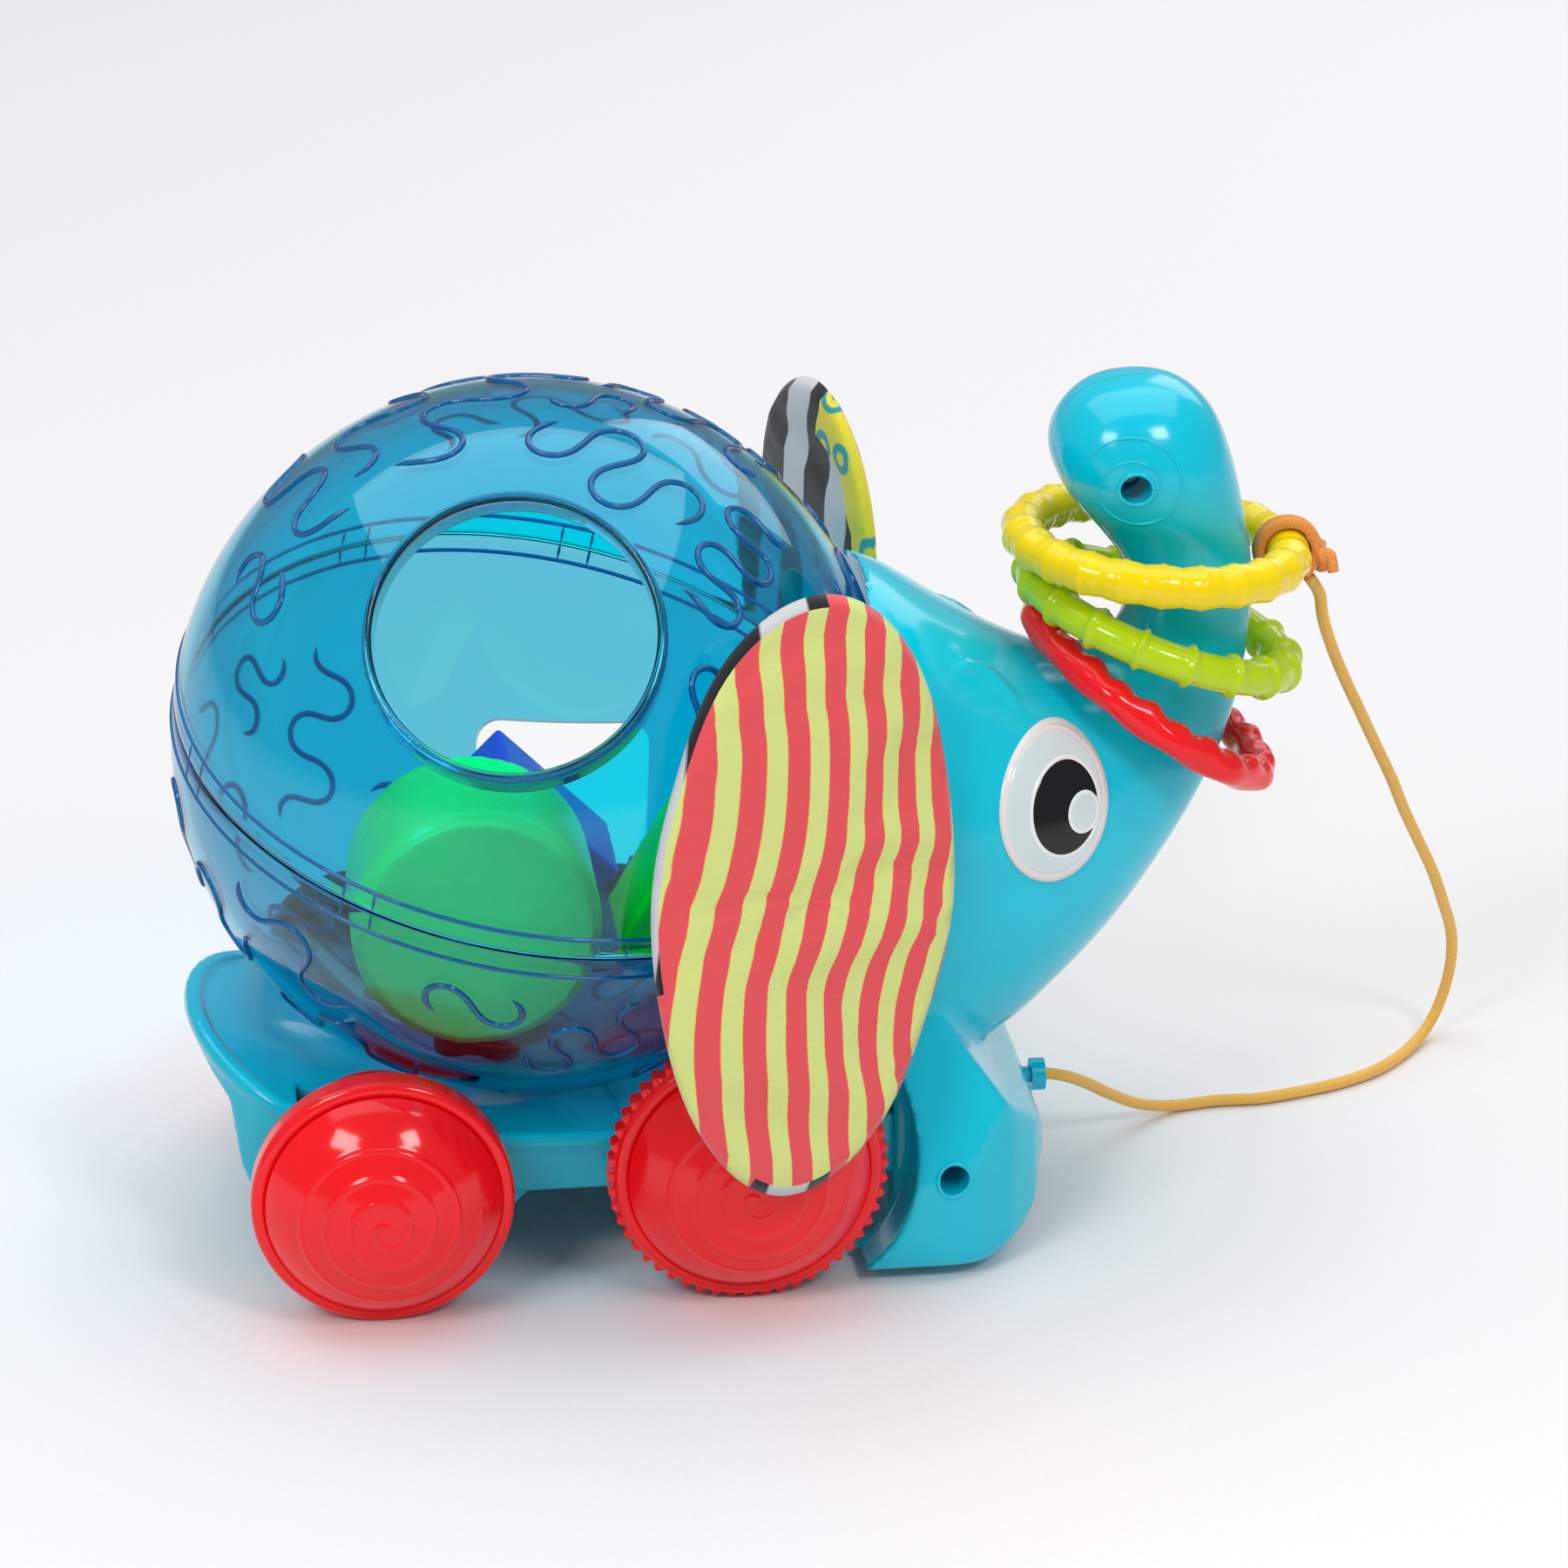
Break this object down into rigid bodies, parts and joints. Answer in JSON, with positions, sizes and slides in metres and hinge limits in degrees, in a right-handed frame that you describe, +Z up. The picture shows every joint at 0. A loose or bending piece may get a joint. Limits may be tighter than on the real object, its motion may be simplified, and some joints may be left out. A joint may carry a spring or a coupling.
{
  "type": "pull-along elephant toy",
  "caption": "Wheeled elephant pull toy whose body is a see-through sorting ball, with fabric ears, a ring-stacking trunk and a pull cord.",
  "frame": {"origin": "on the floor, on the mid-plane between the wheels, half-way along the toy without its cord", "axes": "+X ahead, the way the trunk points and the toy is pulled; +Y to the toy's left; +Z up"},
  "size_m": [0.3285, 0.2364, 0.2055],
  "materials": {
    "cradle_plastic": "glossy moulded",
    "head_plastic": "glossy moulded",
    "red_plastic": "glossy moulded",
    "clear_blue_plastic": "glossy, see-through",
    "green_block_plastic": "glossy moulded",
    "blue_block_plastic": "glossy moulded",
    "yellow_plastic": "glossy moulded",
    "lime_plastic": "glossy moulded",
    "eye_plastic": "printed, glossy",
    "ear_fabric": "printed woven polyester, padded",
    "tab_fabric": "woven tape",
    "cord_fabric": "braided",
    "steel": "drawn"
  },
  "bodies": {
    "chassis": {"cradle": "cradle_plastic", "belly_tray": "cradle_plastic", "belly_screws": "steel", "head_shell_right": "head_plastic", "head_shell_left": "head_plastic", "head_screws": "steel", "eye_right": "eye_plastic", "eye_left": "eye_plastic", "ear_tab_right": "tab_fabric", "ear_tab_left": "tab_fabric", "cord_collar": "head_plastic", "cord_stop_knot": "cord_fabric", "pull_cord": "cord_fabric"},
    "rear_wheels": {"rear_axle": "steel", "drive_roller_right": "red_plastic", "drive_roller_left": "red_plastic", "rear_wheel_back_right": "red_plastic", "rear_wheel_back_left": "red_plastic", "rear_wheel_dome_right": "red_plastic", "rear_wheel_dome_left": "red_plastic"},
    "front_wheels": {"front_axle": "steel", "front_wheel_back_right": "red_plastic", "front_wheel_back_left": "red_plastic", "front_wheel_dome_right": "red_plastic", "front_wheel_dome_left": "red_plastic"},
    "ball_lower": {"ball_lower_shell": "clear_blue_plastic"},
    "ball_upper": {"ball_upper_shell": "clear_blue_plastic"},
    "green_block": {"green_block": "green_block_plastic"},
    "blue_block": {"blue_block": "blue_block_plastic"},
    "yellow_block": {"yellow_block": "yellow_plastic"},
    "red_block": {"red_block": "red_plastic"},
    "ear_right": {"ear_right": "ear_fabric"},
    "ear_left": {"ear_left": "ear_fabric"},
    "ring_yellow": {"ring_yellow": "yellow_plastic", "ring_cord_knot": "cord_fabric"},
    "ring_green": {"ring_green": "lime_plastic"},
    "ring_red": {"ring_red": "red_plastic"}
  },
  "joints": [
    {"name": "rear_wheels_turn", "type": "hinge", "parent": "chassis", "child": "rear_wheels", "pos_m": [-0.091, 0, 0.0305], "axis": [0, 1, 0], "continuous": true},
    {"name": "front_wheels_turn", "type": "hinge", "parent": "chassis", "child": "front_wheels", "pos_m": [-0.006, 0, 0.033], "axis": [0, 1, 0], "continuous": true},
    {"name": "ball_roll", "type": "hinge", "parent": "chassis", "child": "ball_lower", "pos_m": [-0.0505, 0, 0.1205], "axis": [0, 1, 0], "continuous": true},
    {"name": "ball_twist_open", "type": "hinge", "parent": "ball_lower", "child": "ball_upper", "pos_m": [-0.0505, 0, 0.1205], "axis": [0.16, -0.26, 0.9523], "range_deg": [0, 15]},
    {"name": "green_block_tumble", "type": "slide", "parent": "ball_lower", "child": "green_block", "axis": [0, 0, 1], "range_m": [0, 0.012]},
    {"name": "blue_block_tumble", "type": "slide", "parent": "ball_lower", "child": "blue_block", "axis": [0, 0, 1], "range_m": [0, 0.012]},
    {"name": "yellow_block_tumble", "type": "slide", "parent": "ball_lower", "child": "yellow_block", "axis": [0, 0, 1], "range_m": [0, 0.012]},
    {"name": "red_block_tumble", "type": "slide", "parent": "ball_lower", "child": "red_block", "axis": [1, 0, 0], "range_m": [0, 0.01]},
    {"name": "ear_right_swing", "type": "hinge", "parent": "chassis", "child": "ear_right", "pos_m": [0.04059, -0.05445, 0.12693], "axis": [-0.061, 0.1251, 0.9903], "range_deg": [0, 55]},
    {"name": "ear_left_swing", "type": "hinge", "parent": "chassis", "child": "ear_left", "pos_m": [0.04059, 0.05445, 0.12693], "axis": [0.061, 0.1251, -0.9903], "range_deg": [-48, 7]},
    {"name": "ring_yellow_lift", "type": "slide", "parent": "chassis", "child": "ring_yellow", "axis": [-0.0499, 0, 0.9988], "range_m": [0, 0.06]},
    {"name": "ring_green_rock", "type": "hinge", "parent": "chassis", "child": "ring_green", "pos_m": [0.06971, 0, 0.15384], "axis": [0, -1, 0], "range_deg": [0, 10]},
    {"name": "ring_red_rock", "type": "hinge", "parent": "chassis", "child": "ring_red", "pos_m": [0.07088, 0, 0.14344], "axis": [0, -1, 0], "range_deg": [0, 10]}
  ],
  "couplings": [
    {"joint": "ball_roll", "follows": "rear_wheels_turn", "ratio": -0.2533}
  ]
}
